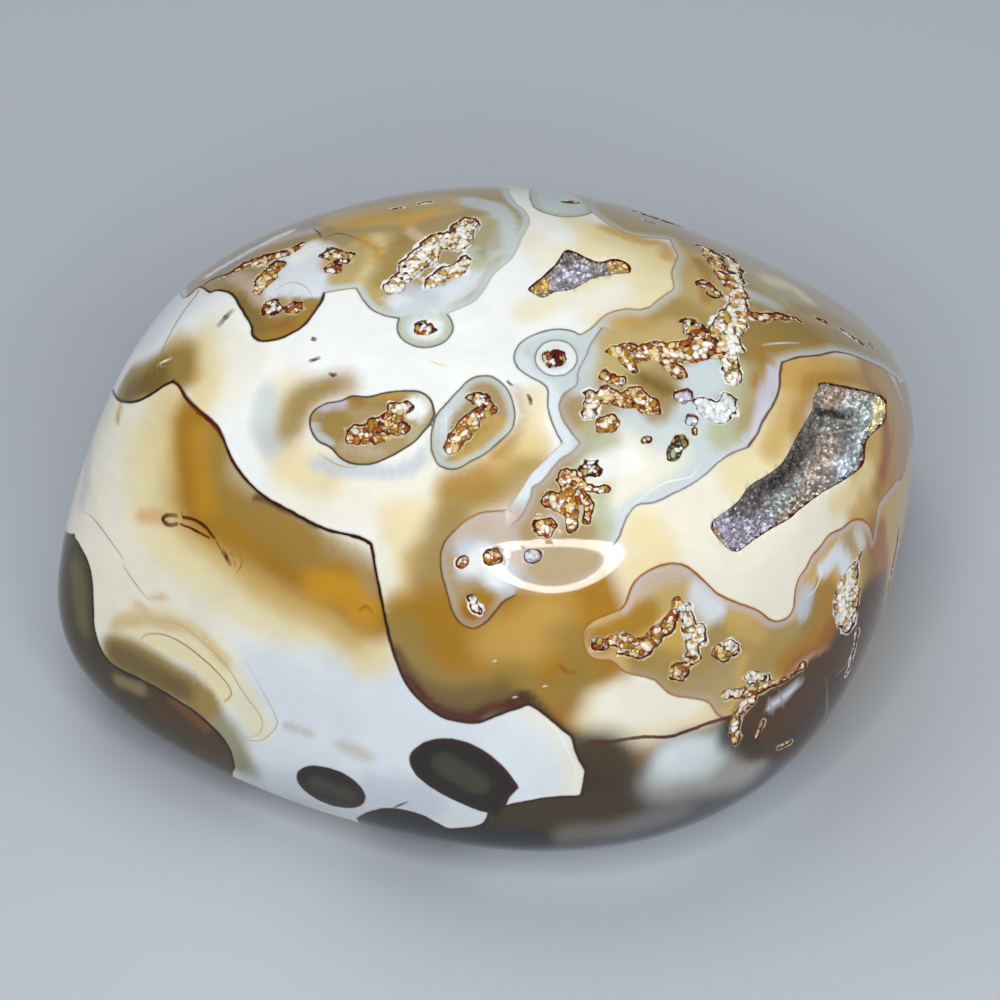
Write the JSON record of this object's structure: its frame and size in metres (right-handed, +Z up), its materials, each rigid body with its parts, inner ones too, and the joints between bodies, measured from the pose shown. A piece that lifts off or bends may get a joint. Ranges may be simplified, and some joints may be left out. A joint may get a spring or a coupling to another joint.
{
  "type": "polished carnelian stone",
  "caption": "Polished free-form banded carnelian with open tube pits and crystal-lined hollows, resting on a small flat spot.",
  "frame": {"origin": "middle of the stone's outline in plan, on the surface that its flat spot rests on", "axes": "+X along the stone's longest extent, to the right as its best side is seen; +Z up, its shortest extent; the best side is seen from -Y and above"},
  "size_m": [0.0862, 0.071, 0.0456],
  "materials": {
    "polished_chalcedony": "high polish; white, cream and amber zones bounded by thin dark brown lines",
    "quartz_crystals": "grey sparkling crust of small quartz crystals"
  },
  "bodies": {
    "root": {"stone": "polished_chalcedony", "druse_long_hollow": "quartz_crystals", "druse_small_hollow": "quartz_crystals"}
  },
  "joints": []
}
